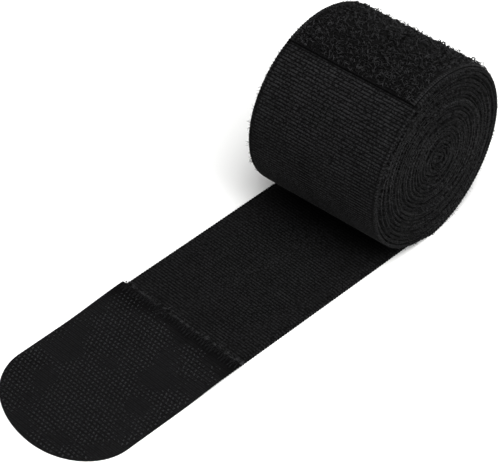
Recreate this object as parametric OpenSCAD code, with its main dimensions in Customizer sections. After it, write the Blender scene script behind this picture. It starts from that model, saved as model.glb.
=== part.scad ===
// Boxing hand wrap: one long woven band wound into a roll, its free end lying
// flat with a hook tape sewn on, a loop tape on the roll's outer turn, and a
// thumb loop wound up in the core.
//
// X runs along the free end, which lies towards -X. Z is up. The origin is on
// the ground in the middle of the line where the roll rests. The roll's own
// axis is turned in plan by roll_skew.

/* [Woven band] */
// Width of the woven band
band_w = 50; // [38:0.5:64]
// Thickness of the woven band
band_t = 1.15; // [0.9:0.05:1.5]
// Clear space between neighbouring turns of the roll
turn_gap = 0.18; // [0.1:0.01:0.4]

/* [Roll] */
// Radius of the outermost turn
roll_r = 31.4; // [24:0.1:40]
// Smallest radius that a turn may have
core_r = 2; // [1.5:0.1:6]
// Half length of the flat on which the roll rests
rest_flat = 4; // [2:0.5:5]
// Angle in plan between the roll's axis and a line square to the free end
roll_skew = 4.27; // [0:0.01:6]

/* [Free end] */
// Length of bare band from the roll's resting line to the hook tape
tail_len = 82; // [60:1:120]
// Length of band fixed under the roll before the first bend
lead_out = 7; // [6.5:0.5:9]
// Number of stiff pieces that the bare band is parted into
tail_pieces = 6; // [5:1:8]
// Sideways offset of the free end from the middle of the roll
tail_side = 1.7; // [-2:0.1:2]
// Gap at each bend between two pieces of the same fabric
bend_gap = 0.3; // [0.2:0.05:0.5]

/* [Hook tape] */
// Length of the hook tape, from its sewn edge to its tip
hook_len = 64.8; // [55:0.1:80]
// How far the hook tape stands out past each edge of the band
hook_over = 0.65; // [0:0.05:1]
// Sideways offset of the hook tape on the band
hook_side = 0.35; // [-0.5:0.05:0.5]
// Thickness of the hook tape with its hooks
hook_t = 1; // [0.8:0.05:1.15]
// Length of band that lies under the hook tape
lap_len = 14; // [10:0.5:20]
// Length over which the hook tape steps down behind the band's end
lap_step = 2; // [1.5:0.1:3]
// Number of stiff pieces that the tape beyond the band is parted into
tab_pieces = 4; // [3:1:5]
// Length of the rounding at the tip, on the +Y side
tip_far = 22; // [15:0.5:30]
// Length of the rounding at the tip, on the -Y side
tip_near = 18; // [15:0.5:30]
// Sideways place of the foremost point of the tip
tip_peak = -3; // [-6:0.5:6]

/* [Loop tape] */
// Bare band left along each edge of the loop tape
loop_margin = 1; // [0.5:0.1:3]
// Thickness of the loop tape with its pile
loop_t = 1.6; // [1:0.1:2.5]
// Angle of the loop tape's front edge, from +X towards +Z
loop_front = 112.1; // [100:0.1:140]
// Angle of the loop tape's back edge
loop_back = -48; // [-60:1:-20]

/* [Thumb loop] */
// Width of the thumb loop's tape
thumb_w = 12; // [8:0.5:16]
// Thickness of the loop pressed flat, both layers
thumb_t = 1.2; // [0.8:0.1:1.6]
// Radius to which the loop is wound in the core
thumb_r = 4.75; // [4:0.05:6]
// Number of turns that the loop makes
thumb_turns = 2; // [1:1:2]
// Clearance around the wound thumb loop
thumb_clear = 0.25; // [0.1:0.05:0.5]

/* [Sewing] */
// Width and height of a stitch's thread
thread_w = 0.35; // [0.2:0.05:0.6]
// Length of one stitch
stitch_len = 2.4; // [1.5:0.1:4]
// Distance from one stitch to the next
stitch_step = 3.2; // [3.2:0.1:5]
// Distance from a tape's edge to its stitches
stitch_inset = 1.6; // [1:0.1:3]
// Length of the bar tack along the thumb loop's end
tack_w = 9; // [5:0.5:12]

/* [Hidden] */
$fn = 96;
arc_step = 9;
overshoot = 1;

// One turn of the two-centre spiral takes this much of the radius.
turn_pitch = band_t + turn_gap;
turns = floor((roll_r - core_r) / turn_pitch);
// The roll sinks by this much, which makes the flat that it rests on.
rest_sag = roll_r - sqrt(pow(roll_r, 2) - pow(rest_flat, 2));
roll_z = roll_r - rest_sag;
far_below = 2 * roll_r;

thumb_pitch = thumb_t + turn_gap;

seam_x = -tail_len;
tip_x = seam_x - hook_len;
tail_step = (tail_len - lead_out) / tail_pieces;
lap_end = seam_x - lap_len;
// The hook tape lies on the ground from here on, half a millimetre short of the bend.
tab_bend = lap_end - lap_step - 0.5;
tab_step = (tab_bend - tip_x) / tab_pieces;
hook_w = band_w + 2 * hook_over;
hook_near = hook_side - hook_w / 2;
hook_far = hook_side + hook_w / 2;
loop_w = band_w - 2 * loop_margin;

tail_ids = [for (i = [1 : tail_pieces]) i];
tab_ids = [for (i = [1 : tab_pieces]) i + 1];

// Points of an ellipse's arc about centre c, without the point at angle from.
function arc_points(c, rx, ry, from, to) =
    [for (a = [from + arc_step : arc_step : to]) [c[0] + rx * cos(a), c[1] + ry * sin(a)]];

hook_outline = concat(
    [[seam_x, hook_near]],
    [[seam_x, hook_far]],
    [[tip_x + tip_far, hook_far]],
    arc_points([tip_x + tip_far, tip_peak], tip_far, hook_far - tip_peak, 90, 180),
    arc_points([tip_x + tip_near, tip_peak], tip_near, tip_peak - hook_near, 180, 270)
);

// Puts its children, drawn about the roll's axis, where the roll stands.
module at_roll() {
    rotate([0, 0, roll_skew])
        translate([0, 0, roll_z])
            children();
}

// Puts its children, drawn about the free end's centre line, where it lies.
module at_tail() {
    translate([0, tail_side, 0])
        children();
}

// Part of a ring about the Y axis, at height z, of outer radius r, wall t and width w.
module ring_part(z, r, t, w, from, to) {
    translate([0, w / 2, z])
        rotate([90, 0, 0])
            rotate([0, 0, from])
                rotate_extrude(angle = to - from)
                    translate([r - t, 0])
                        square([t, w]);
}

// Winding of wall t, made of half rings about two centres that lie half a pitch apart.
module winding(r, t, w, pitch, n) {
    for (i = [0 : n - 1]) {
        ring_part(0, r - i * pitch, t, w, -90, 90);
        ring_part(pitch / 2, r - (i + 0.5) * pitch, t, w, 90, 270);
    }
}

// Skin of wall t about the outermost turn, lift above it, between two angles.
module on_outer_turn(lift, t, w, back, front) {
    ring_part(0, roll_r + lift + t, t, w, back, front);
}

// Box from x_low to x_high, w wide about the free end's centre line.
module strip(x_low, x_high, w, z, t) {
    translate([x_low, -w / 2, z])
        cube([x_high - x_low, w, t]);
}

// Row of stitches across the free end.
module stitch_row(x, y_low, y_high, z) {
    count = floor((y_high - y_low - stitch_len) / stitch_step);
    start = (y_low + y_high - count * stitch_step - stitch_len) / 2;
    for (i = [0 : count])
        translate([x - thread_w / 2, start + i * stitch_step, z])
            cube([thread_w, stitch_len, thread_w]);
}

module band_roll() {
    color("#1b1b1c")
        difference() {
            at_roll() winding(roll_r, band_t, band_w, turn_pitch, turns);
            translate([-far_below, -far_below, -far_below])
                cube([2 * far_below, 2 * far_below, far_below]);
            at_roll()
                rotate([90, 0, 0])
                    cylinder(r = thumb_r + thumb_clear, h = thumb_w + 2 * thumb_clear, center = true);
        }
}

// The start of the free end, still fixed to the roll, from the first bend to the resting line.
module band_lead_out() {
    half = band_w / 2;
    bend_x = -lead_out + bend_gap / 2;
    color("#1b1b1c")
        linear_extrude(band_t - rest_sag)
            polygon([
                [bend_x, tail_side - half],
                [half * sin(roll_skew), -half * cos(roll_skew)],
                [-half * sin(roll_skew), half * cos(roll_skew)],
                [bend_x, tail_side + half]
            ]);
}

module loop_tape() {
    color("#151516") at_roll() on_outer_turn(0, loop_t, loop_w, loop_back, loop_front);
}

module loop_tape_stitches() {
    edge = loop_w / 2 - stitch_inset;
    turn_in = stitch_inset / roll_r * 180 / PI;
    color("#232324") at_roll() {
        for (y = [-edge, edge])
            translate([0, y, 0])
                on_outer_turn(loop_t, thread_w, thread_w, loop_back + turn_in, loop_front - turn_in);
    }
}

module thumb_loop() {
    color("#1b1b1c") at_roll() winding(thumb_r, thumb_t, thumb_w, thumb_pitch, thumb_turns);
}

// Sewn across the loop's inner end, against its cut face.
module thumb_loop_bar_tack() {
    end_r = thumb_r - thumb_turns * thumb_pitch;
    color("#232324") at_roll()
        translate([0, -tack_w / 2, -end_r])
            cube([thread_w, tack_w, thumb_t - thread_w]);
}

module band_tail(i) {
    x_high = -lead_out - (i - 1) * tail_step;
    color("#1b1b1c") at_tail()
        strip(x_high - tail_step + bend_gap / 2, x_high - bend_gap / 2, band_w, 0, band_t);
}

module band_end() {
    color("#1b1b1c") at_tail() strip(lap_end, seam_x - bend_gap / 2, band_w, 0, band_t);
}

// The first piece of hook tape lies on the band's end and steps down behind it.
module hook_tape_1() {
    color("#18181a") at_tail()
        translate([0, hook_far, 0])
            rotate([90, 0, 0])
                linear_extrude(hook_w)
                    polygon([
                        [seam_x - bend_gap / 2, band_t],
                        [seam_x - bend_gap / 2, band_t + hook_t],
                        [lap_end, band_t + hook_t],
                        [lap_end - lap_step, hook_t],
                        [tab_bend + bend_gap / 2, hook_t],
                        [tab_bend + bend_gap / 2, 0],
                        [lap_end - lap_step, 0],
                        [lap_end, band_t]
                    ]);
}

module seam_stitches() {
    color("#232324") at_tail()
        for (x = [seam_x - stitch_inset, lap_end + stitch_inset])
            stitch_row(x, hook_near + stitch_inset, hook_far - stitch_inset, band_t + hook_t);
}

// A later piece of hook tape, cut from the whole outline between two bends.
module hook_tape(i) {
    x_high = tab_bend - (i - 2) * tab_step;
    last = i == tab_pieces + 1;
    x_low = x_high - tab_step - (last ? overshoot : -bend_gap / 2);
    color("#18181a") at_tail()
        intersection() {
            linear_extrude(hook_t) polygon(hook_outline);
            translate([x_low, -hook_w, -overshoot])
                cube([x_high - bend_gap / 2 - x_low, 2 * hook_w, hook_t + 2 * overshoot]);
        }
}

band_roll();
band_lead_out();
loop_tape();
loop_tape_stitches();
thumb_loop();
thumb_loop_bar_tack();
for (i = tail_ids)
    band_tail(i);
band_end();
hook_tape_1();
seam_stitches();
for (i = tab_ids)
    hook_tape(i);
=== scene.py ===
"""Boxing hand wrap: the looks of every piece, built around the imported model.

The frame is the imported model's: X runs along the free end, whose tip lies towards
-X, Z is up and the ground is at z = 0. The roll's own axis is turned a few degrees
in plan. Sizes in this file are millimetres until a piece is made.
"""

import logging
import math
from dataclasses import dataclass, replace
from enum import Enum

import bpy
import numpy as np
from mathutils import Matrix, Vector
from numpy.typing import NDArray


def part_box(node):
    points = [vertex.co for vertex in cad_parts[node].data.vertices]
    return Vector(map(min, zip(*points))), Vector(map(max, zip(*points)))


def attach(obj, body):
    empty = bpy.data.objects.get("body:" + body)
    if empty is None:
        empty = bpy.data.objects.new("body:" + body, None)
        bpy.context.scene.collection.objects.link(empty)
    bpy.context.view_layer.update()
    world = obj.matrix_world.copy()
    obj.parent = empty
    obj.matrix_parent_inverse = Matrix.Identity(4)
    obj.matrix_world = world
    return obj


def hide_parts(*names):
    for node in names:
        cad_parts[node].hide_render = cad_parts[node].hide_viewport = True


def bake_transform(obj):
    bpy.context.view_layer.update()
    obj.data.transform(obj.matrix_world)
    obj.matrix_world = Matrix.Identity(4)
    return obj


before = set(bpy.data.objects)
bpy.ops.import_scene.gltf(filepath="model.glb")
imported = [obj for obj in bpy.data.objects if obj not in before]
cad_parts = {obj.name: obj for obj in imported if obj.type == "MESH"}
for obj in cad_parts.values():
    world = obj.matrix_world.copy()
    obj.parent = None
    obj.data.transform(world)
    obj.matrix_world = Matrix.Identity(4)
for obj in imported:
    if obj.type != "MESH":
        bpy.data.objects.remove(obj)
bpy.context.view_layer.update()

LOG = logging.getLogger("hand_wrap")
MM = 0.001
# Keeps a vector of no length from being divided by nought.
TINY = 1e-12
# Keeps an angle that falls a rounding error short of a half turn on that half turn.
ANGLE_SLACK = 1e-9

Array = NDArray[np.float64]
Piece = bpy.types.Object
Socket = bpy.types.NodeSocket
Tree = bpy.types.NodeTree
Range = tuple[float, float]


# ---------------------------------------------------------------- shaders

def to_linear(code: str) -> tuple[float, float, float, float]:
    """Turns an sRGB hex colour into linear light.

    Args:
        code: colour as six hex digits after a hash.

    Returns:
        Red, green, blue and alpha, by the sRGB curve.
    """
    parts = np.array([int(code[i:i + 2], 16) for i in (1, 3, 5)]) / 255
    linear = np.where(parts <= 0.04045, parts / 12.92, ((parts + 0.055) / 1.055) ** 2.4)
    return (*[float(v) for v in linear], 1.0)


def add_node(tree: Tree, kind: str, inputs: dict | None = None, **options) -> bpy.types.Node:
    """Adds a shader node with its settings and links.

    Args:
        tree: node tree to add to.
        kind: node type without its ShaderNode prefix.
        inputs: value or source socket for each input, by name or number.
        options: properties of the node itself.

    Returns:
        The new node.
    """
    node = tree.nodes.new(f"ShaderNode{kind}")
    for name, value in options.items():
        setattr(node, name, value)
    for key, value in (inputs or {}).items():
        if isinstance(value, Socket):
            tree.links.new(value, node.inputs[key])
        else:
            node.inputs[key].default_value = value
    return node


def calculate(tree: Tree, operation: str, *values: float | Socket) -> Socket:
    """Adds a Math node on the values or sockets and gives its result."""
    return add_node(tree, "Math", dict(enumerate(values)), operation=operation).outputs[0]


def remap(tree: Tree, value: Socket, source: Range = (0.0, 1.0), target: Range = (0.0, 1.0)) -> Socket:
    """Adds a node that maps the source range to the target range and gives its result."""
    return add_node(tree, "MapRange", dict(enumerate((value, *source, *target)))).outputs[0]


def noise(tree: Tree, size: float, detail: float = 2.0) -> Socket:
    """Adds a noise on Object coordinates, of a grain size in millimetres, and gives its value."""
    place = add_node(tree, "TexCoord").outputs["Object"]
    inputs = {"Vector": place, "Scale": 1 / (size * MM), "Detail": detail}
    return add_node(tree, "TexNoise", inputs).outputs[0]


@dataclass(frozen=True)
class Finish:
    """Common ground of the finishes: a black textile seen under soft light."""

    title: str
    low: str
    high: str
    roughness: float
    sheen: float
    specular: float = 0.05
    sheen_spread: float = 0.45
    gloss_swing: float = 0.06

    def detail(self, tree: Tree) -> tuple[Socket, Socket]:
        """Gives the lightness from 0 to 1 and the bump height in millimetres."""
        raise NotImplementedError

    def make(self) -> bpy.types.Material:
        """Builds the material.

        Returns:
            A material whose colour, roughness and bump follow the finish's own detail. A
            piece's shade attribute darkens it: painted shade in grooves, under the loop tape's
            edge and pile, beside the seam and over the free end, and random darker stretches
            on the inner turns.
        """
        material = bpy.data.materials.new(self.title)
        material.use_nodes = True
        tree = material.node_tree
        tree.nodes.clear()
        light, height = self.detail(tree)
        # The shade attribute darkens the colour: mostly painted shade, and random darker stretches on the
        # inner turns.
        shade = add_node(tree, "Attribute", attribute_name="shade", attribute_type="GEOMETRY")
        light = calculate(tree, "MULTIPLY", light, calculate(tree, "SUBTRACT", 1.0, shade.outputs["Fac"]))
        colour = add_node(tree, "Mix", {0: light, 6: to_linear(self.low), 7: to_linear(self.high)},
                          data_type="RGBA")
        rough = remap(tree, light, target=(self.roughness + self.gloss_swing,
                                           self.roughness - self.gloss_swing))
        bump = add_node(tree, "Bump", {"Height": height, "Distance": MM, "Strength": 1.0})
        shader = add_node(tree, "BsdfPrincipled", {
            "Base Color": colour.outputs[2],
            "Roughness": rough,
            "Normal": bump.outputs[0],
            "Specular IOR Level": self.specular,
            "Sheen Weight": self.sheen,
            "Sheen Roughness": self.sheen_spread,
        })
        add_node(tree, "OutputMaterial", {"Surface": shader.outputs[0]})
        return material


@dataclass(frozen=True)
class WovenFinish(Finish):
    """Woven cloth: crosswise ribs with painted shade in their grooves, lengthwise threads over them, and
    lint.

    The piece's UV map holds the distance along and across the cloth in
    millimetres, so the weave follows the cloth round the roll. Real threads lie
    closer together and the hairs of real yarn are finer still: too fine to show, so
    both are drawn coarser.
    """

    rib_pitch: float = 1.08
    thread_pitch: float = 0.95
    painted_groove_light: float = 0.1
    rib_full: float = 0.5
    thread_light: float = 0.75
    grain_light: float = 0.3
    grain_range: Range = (0.38, 0.64)
    bump: float = 0.05
    thread_bump: float = 0.4
    yarn_grain: float = 0.6
    lint_patch: float = 9.0
    patch_range: Range = (0.3, 0.7)
    patch_light: float = 0.75

    def detail(self, tree: Tree) -> tuple[Socket, Socket]:
        """Gives lightness and height from rib tops, threads, yarn grain and lint patches."""
        uv = add_node(tree, "SeparateXYZ", {0: add_node(tree, "TexCoord").outputs["UV"]})
        rib = self._wave(tree, uv.outputs[0], self.rib_pitch)
        thread = self._wave(tree, uv.outputs[1], self.thread_pitch)
        grain = noise(tree, self.yarn_grain)
        patch = noise(tree, self.lint_patch, detail=3.0)
        # Painted shade: the colour darkens into each groove between the ribs, down to the painted groove
        # light.
        light = remap(tree, rib, (0.0, self.rib_full), (self.painted_groove_light, 1.0))
        for layer in (remap(tree, thread, target=(self.thread_light, 1.0)),
                      remap(tree, grain, self.grain_range, (self.grain_light, 1.0)),
                      remap(tree, patch, self.patch_range, (self.patch_light, 1.0))):
            light = calculate(tree, "MULTIPLY", light, layer)
        fine = calculate(tree, "MULTIPLY_ADD", thread, self.thread_bump, grain)
        return light, calculate(tree, "MULTIPLY", fine, self.bump)

    @staticmethod
    def _wave(tree: Tree, distance: Socket, pitch: float) -> Socket:
        """Gives a wave from 0 to 1 whose tops lie a pitch apart."""
        turn = calculate(tree, "MULTIPLY", distance, 2 * math.pi / pitch)
        return remap(tree, calculate(tree, "COSINE", turn), (-1.0, 1.0))


@dataclass(frozen=True)
class YarnFinish(Finish):
    """Loose yarn, thread or filament: light tips and a grain, coarser than real fibres."""

    grain_size: float = 0.5
    grain_range: Range = (0.3, 0.7)
    bump: float = 0.03

    def detail(self, tree: Tree) -> tuple[Socket, Socket]:
        """Gives lightness and height from one grain on Object coordinates."""
        grain = noise(tree, self.grain_size)
        return remap(tree, grain, self.grain_range), calculate(tree, "MULTIPLY", grain, self.bump)


class Cloth(Enum):
    """The finishes of the wrap, each named for its material."""

    # Cotton and elastane woven in crosswise ribs: matt; the grooves painted dark as shade, the rib tops
    # lighter with a little lint.
    BAND = WovenFinish("ribbed_elastic_cotton_weave", "#010101", "#252526", 0.92, 0.02, painted_groove_light=0.0,
                       grain_light=0.1, grain_range=(0.38, 0.6))
    # The same weave where it is cut or folded at the band's edge: rougher, more lint.
    EDGE = WovenFinish("brushed_selvedge_weave", "#010101", "#2c2c2d", 0.95, 0.02, painted_groove_light=0.3,
                       grain_light=0.05, grain_range=(0.42, 0.6), yarn_grain=0.8, bump=0.3)
    # Nylon hook tape: a tight flat weave between the rows of hooks.
    HOOK_GROUND = WovenFinish("woven_nylon_hook_tape", "#010101", "#1d1d1e", 0.8, 0.01, rib_pitch=0.685,
                              painted_groove_light=0.0, rib_full=0.8, thread_light=0.8, grain_range=(0.36, 0.6),
                              lint_patch=14.0)
    # Nylon monofilament cut into hooks: smooth, so each hook catches a small highlight.
    HOOK = YarnFinish("nylon_monofilament_hooks", "#101011", "#2d2d2f", 0.55, 0.0, specular=0.2,
                      grain_size=2.5)
    # Knitted nylon loops, brushed open: many small light tips over dark gaps.
    LOOP_PILE = YarnFinish("brushed_nylon_loop_pile", "#010101", "#2b2b2c", 0.9, 0.02, grain_size=1.2,
                           grain_range=(0.4, 0.6))
    # Ground of the loop tape and the thumb loop: narrow plain weave.
    NARROW_TAPE = WovenFinish("narrow_plain_woven_tape", "#010101", "#2a2a2b", 0.9, 0.02,
                              rib_pitch=0.9, thread_pitch=0.6)
    # Spun polyester sewing thread: a soft gleam along the twist.
    THREAD = YarnFinish("spun_polyester_thread", "#010101", "#1c1c1d", 0.75, 0.01, grain_size=0.6)
    # Loose cotton ends standing out of the weave: almost no gloss.
    LINT = YarnFinish("loose_cotton_fibres", "#060606", "#2c2c2d", 0.95, 0.02, grain_size=1.2)
    # Cut and brushed-up cotton beside the seam: the lightest fibres of the wrap.
    FRAY = YarnFinish("frayed_cotton_ends", "#070707", "#363637", 0.95, 0.02, grain_size=1.5,
                      grain_range=(0.4, 0.62))

    def material(self) -> bpy.types.Material:
        """Gives the finish's material, made once."""
        return bpy.data.materials.get(self.value.title) or self.value.make()


# ---------------------------------------------------------------- meshes

def signed_volume(points: Array, faces: list[NDArray]) -> float:
    """Gives the volume inside the faces, below zero when they point inwards.

    Args:
        points: vertices, one row each.
        faces: arrays of vertex numbers, one array per number of corners.

    Returns:
        A sixth of the sum of the triple products of each face's fan of triangles.
    """
    total = 0.0
    for group in faces:
        for k in range(1, group.shape[1] - 1):
            a, b, c = points[group[:, 0]], points[group[:, k]], points[group[:, k + 1]]
            total += float(np.einsum("ij,ij->", a, np.cross(b, c)))
    return total / 6


def make_piece(name: str, points: Array, faces: list[NDArray], cloth: Cloth,
               uv: Array | None = None, ring: int = 0, shade: Array | None = None) -> Piece:
    """Makes a smooth object from vertices in millimetres, with its faces turned outwards.

    Args:
        name: the piece's name.
        points: vertices, one row each.
        faces: arrays of vertex numbers, one array per number of corners.
        cloth: the finish.
        uv: distance along and across the cloth for each vertex.
        ring: points in a ring, where the edges round both end faces are kept sharp.
        shade: how far each vertex is darkened, from 0 to 1.

    Returns:
        The new object, at the origin, with its place in its mesh.
    """
    if signed_volume(points - points.mean(axis=0), faces) < 0:
        faces = [group[:, ::-1] for group in faces]
    corners = np.concatenate([group.ravel() for group in faces]).astype(np.int32)
    sizes = np.concatenate([np.full(len(group), group.shape[1]) for group in faces])
    starts = np.concatenate([[0], np.cumsum(sizes)[:-1]]).astype(np.int32)
    mesh = bpy.data.meshes.new(name)
    mesh.vertices.add(len(points))
    mesh.vertices.foreach_set("co", (points * MM).ravel())
    mesh.loops.add(len(corners))
    mesh.loops.foreach_set("vertex_index", corners)
    mesh.polygons.add(len(sizes))
    mesh.polygons.foreach_set("loop_start", starts)
    mesh.update(calc_edges=True)
    if uv is not None:
        layer = mesh.uv_layers.new(name="along_and_across")
        layer.data.foreach_set("uv", uv[corners].ravel())
    if shade is not None:
        mesh.attributes.new("shade", "FLOAT", "POINT").data.foreach_set("value", shade.ravel())
    mesh.polygons.foreach_set("use_smooth", np.ones(len(sizes), dtype=bool))
    if ring:
        ends = np.empty(len(mesh.edges) * 2, dtype=np.int32)
        mesh.edges.foreach_get("vertices", ends)
        rows = ends.reshape(-1, 2) // ring
        last = len(points) // ring - 1
        sharp = (rows[:, 0] == rows[:, 1]) & ((rows[:, 0] == 0) | (rows[:, 0] == last))
        mesh.edges.foreach_set("use_edge_sharp", sharp)
    mesh.validate()
    mesh.materials.append(cloth.material())
    piece = bpy.data.objects.new(name, mesh)
    bpy.context.scene.collection.objects.link(piece)
    return piece


def ring_faces(stations: int, ring: int) -> list[NDArray]:
    """Gives the faces of a closed strip whose rings run over the top and back underneath.

    Args:
        stations: number of rings.
        ring: points in a ring, an even number.

    Returns:
        Quads between the rings and across both ends.
    """
    i, j = np.meshgrid(np.arange(stations - 1), np.arange(ring), indexing="ij")
    k = (j + 1) % ring
    sides = np.stack([i * ring + j, (i + 1) * ring + j, (i + 1) * ring + k, i * ring + k], axis=-1)
    c = np.arange(ring // 2 - 1)
    first = np.stack([c, c + 1, ring - 2 - c, ring - 1 - c], axis=-1)
    last = first[:, ::-1] + (stations - 1) * ring
    return [np.concatenate([sides.reshape(-1, 4), first, last])]


def tube_bundle(paths: Array, side: Array, radius: Array, corners: int) -> tuple[Array, list[NDArray]]:
    """Gives many thin tubes at once, each closed at both ends.

    A ring's points lie round its path's point at the tube's radius, in the plane of
    the side vector and of the side vector crossed with the path's direction.

    Args:
        paths: points of each path, shaped (tubes, points, 3).
        side: a vector square to each path, shaped (tubes, 3).
        radius: radius at each point, shaped (tubes, points).
        corners: corners of a ring.

    Returns:
        The vertices, and the faces as quads and end faces.
    """
    count, length, _ = paths.shape
    along = np.gradient(paths, axis=1)
    along /= np.linalg.norm(along, axis=2, keepdims=True) + TINY
    first = np.broadcast_to(side[:, None, :], along.shape)
    first = first - along * np.sum(first * along, axis=2, keepdims=True)
    first /= np.linalg.norm(first, axis=2, keepdims=True) + TINY
    second = np.cross(along, first)
    turn = np.arange(corners) * 2 * math.pi / corners
    points = (paths[:, :, None, :]
              + radius[:, :, None, None] * (first[:, :, None, :] * np.cos(turn)[:, None]
                                            + second[:, :, None, :] * np.sin(turn)[:, None]))
    t, i, j = np.meshgrid(np.arange(count), np.arange(length - 1), np.arange(corners), indexing="ij")
    k = (j + 1) % corners
    base = t * length * corners
    sides = np.stack([base + i * corners + j, base + i * corners + k,
                      base + (i + 1) * corners + k, base + (i + 1) * corners + j], axis=-1).reshape(-1, 4)
    ring = np.arange(count)[:, None] * length * corners + np.arange(corners)[::-1]
    ends = np.concatenate([ring, ring[:, ::-1] + (length - 1) * corners])
    return points.reshape(-1, 3), [sides, ends]


def tube_piece(name: str, paths: Array, side: Array, radius: Array, corners: int, cloth: Cloth) -> Piece:
    """Makes one piece of the tubes that tube_bundle gives for the same arguments."""
    points, faces = tube_bundle(paths, side, radius, corners)
    return make_piece(name, points, faces, cloth)


def smoothstep(t: Array) -> Array:
    """Gives 3t^2 - 2t^3 of t held between 0 and 1."""
    t = np.clip(t, 0, 1)
    return t * t * (3 - 2 * t)


def ramp(x: Array, start: float, run: Array | float) -> Array:
    """Gives a smooth step that leaves 0 at the start and reaches 1 a run further on."""
    return smoothstep((x - start) / run)


def bell(x: Array, middle: float, reach: float) -> Array:
    """Gives exp(-((x - middle) / reach)^2)."""
    return np.exp(-((x - middle) / reach) ** 2)


def bent(x: Array, y: Array, scale: float, sway: float, rate: float) -> Array:
    """Gives x times the scale, plus a sine of y, so that a wave of it has no straight crests."""
    return x * scale + sway * np.sin(y * rate)


@dataclass(frozen=True)
class Wave:
    """A smooth random-looking wave: the mean of one sine per rate, times the height."""

    height: float
    seed: int
    rates: tuple[float, ...]

    def at(self, x: Array) -> Array:
        """Gives the wave at each x; the seed sets the phase of each sine."""
        phase = np.random.default_rng(self.seed).uniform(0, 2 * math.pi, len(self.rates))
        total = sum(np.sin(rate * x + p) for rate, p in zip(self.rates, phase))
        return self.height * (total / len(self.rates))


# ---------------------------------------------------------------- sizes

@dataclass(frozen=True)
class WrapSizes:
    """Driving sizes of the wrap, in millimetres; the rest is read from the frame."""

    roll_r: float = 31.4
    turn_gap: float = 0.18
    core_r: float = 2.0
    roll_skew: float = 4.27
    thumb_r: float = 4.75
    thumb_t: float = 1.2
    thumb_w: float = 12.0
    thumb_turns: int = 2
    tip_far: float = 22.0
    tip_near: float = 18.0
    tip_peak: float = -3.0
    loop_front: float = 112.1
    loop_back: float = -48.0
    rib_pitch: float = 1.08
    hook_pitch: float = 1.37

    @staticmethod
    def box(node: str) -> tuple[Array, Array]:
        """Gives a CAD node's lowest and highest corners in millimetres."""
        low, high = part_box(node)
        return np.array(low) / MM, np.array(high) / MM

    @staticmethod
    def middle_x(node: str) -> float:
        """Gives the x of a CAD node's middle in millimetres."""
        low, high = WrapSizes.box(node)
        return float(low[0] + high[0]) / 2

    @property
    def band_w(self) -> float:
        """Width of the woven band."""
        low, high = self.box("band_tail_1")
        return float(high[1] - low[1])

    @property
    def band_t(self) -> float:
        """Thickness of the woven band."""
        low, high = self.box("band_tail_1")
        return float(high[2] - low[2])

    @property
    def tail_side(self) -> float:
        """Sideways place of the free end's centre line."""
        low, high = self.box("band_tail_1")
        return float(low[1] + high[1]) / 2

    @property
    def lead_out_len(self) -> float:
        """Length of the band's start under the roll, up to the first bend."""
        return -float(self.box("band_lead_out")[0][0])

    @property
    def pitch(self) -> float:
        """Radius that one turn takes."""
        return self.band_t + self.turn_gap

    @property
    def roll_z(self) -> float:
        """Height of the roll's axis."""
        return float(self.box("band_roll")[1][2]) - self.roll_r


@dataclass(frozen=True)
class Line:
    """A centre line that a strip follows: places, directions and distance along."""

    centre: Array
    up: Array
    across: Array
    along: Array

    def joined(self, other: "Line") -> "Line":
        """Gives this line followed by another whose first station is left out."""
        return Line(*[np.concatenate([getattr(self, part), getattr(other, part)[1:]])
                      for part in ("centre", "up", "across", "along")])


@dataclass(frozen=True)
class Winding:
    """Two-centre spiral: half rings about the axis and about a point half a pitch above it.

    The angle starts at the bottom and grows up the back, over the top and down the
    front; every half turn the radius is half a pitch smaller.
    """

    outer_r: float
    pitch: float
    thickness: float
    skew: float
    height: float
    steps_per_degree: int = 4

    @staticmethod
    def half_turns(angle: Array) -> Array:
        """Gives how many whole half turns lie before each angle in degrees."""
        return np.floor(angle / 180 + ANGLE_SLACK)

    def radius(self, angle: Array) -> Array:
        """Gives the outer radius at each angle in degrees."""
        return self.outer_r - self.half_turns(angle) * self.pitch / 2

    def stations(self, first: float, last: float, step: float) -> Array:
        """Gives the angles of stations an even distance apart along the cloth."""
        fine = np.linspace(first, last, int((last - first) * self.steps_per_degree) + 2)
        middle = self.radius((fine[1:] + fine[:-1]) / 2) - self.thickness / 2
        run = np.concatenate([[0], np.cumsum(np.radians(np.diff(fine)) * middle)])
        return np.interp(np.linspace(0, run[-1], int(run[-1] / step) + 2), run, fine)

    def run(self, angle: Array) -> Array:
        """Gives the distance along the cloth from the bottom of the first turn to each angle."""
        half = self.half_turns(angle)
        middle = self.outer_r - self.thickness / 2
        whole = half * middle - self.pitch / 2 * half * (half - 1) / 2
        rest = (angle / 180 - half) * (self.radius(angle) - self.thickness / 2)
        return math.pi * (whole + rest)

    def line(self, angle: Array, out: Array | float = 0.0, aside: Array | float = 0.0) -> Line:
        """Gives the cloth's middle line at the angles.

        Args:
            angle: degrees from the bottom of the outermost turn.
            out: how far the cloth stands out from the ideal spiral.
            aside: how far it is shifted along the roll's axis.

        Returns:
            The line, turned by the skew and lifted to the roll's height.
        """
        phi = np.radians(angle - 90)
        half = self.half_turns(angle)
        lift = np.where(half % 2 == 1, self.pitch / 2, 0.0)
        r = self.radius(angle) - self.thickness / 2 + out
        local = np.stack([r * np.cos(phi), np.zeros_like(phi) + aside, lift + r * np.sin(phi)], axis=1)
        up = np.stack([np.cos(phi), np.zeros_like(phi), np.sin(phi)], axis=1)
        across = np.tile([0.0, 1.0, 0.0], (len(phi), 1))
        return Line(self.placed(local), self.turned(up), self.turned(across), self.run(angle))

    def placed(self, places: Array) -> Array:
        """Turns places about Z by the skew and lifts them to the roll's height."""
        return self.turned(places) + [0, 0, self.height]

    def turned(self, vectors: Array) -> Array:
        """Turns vectors about Z by the skew."""
        c, s = math.cos(math.radians(self.skew)), math.sin(math.radians(self.skew))
        return vectors @ np.array([[c, s, 0], [-s, c, 0], [0, 0, 1]])


# ---------------------------------------------------------------- cloth strips

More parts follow.
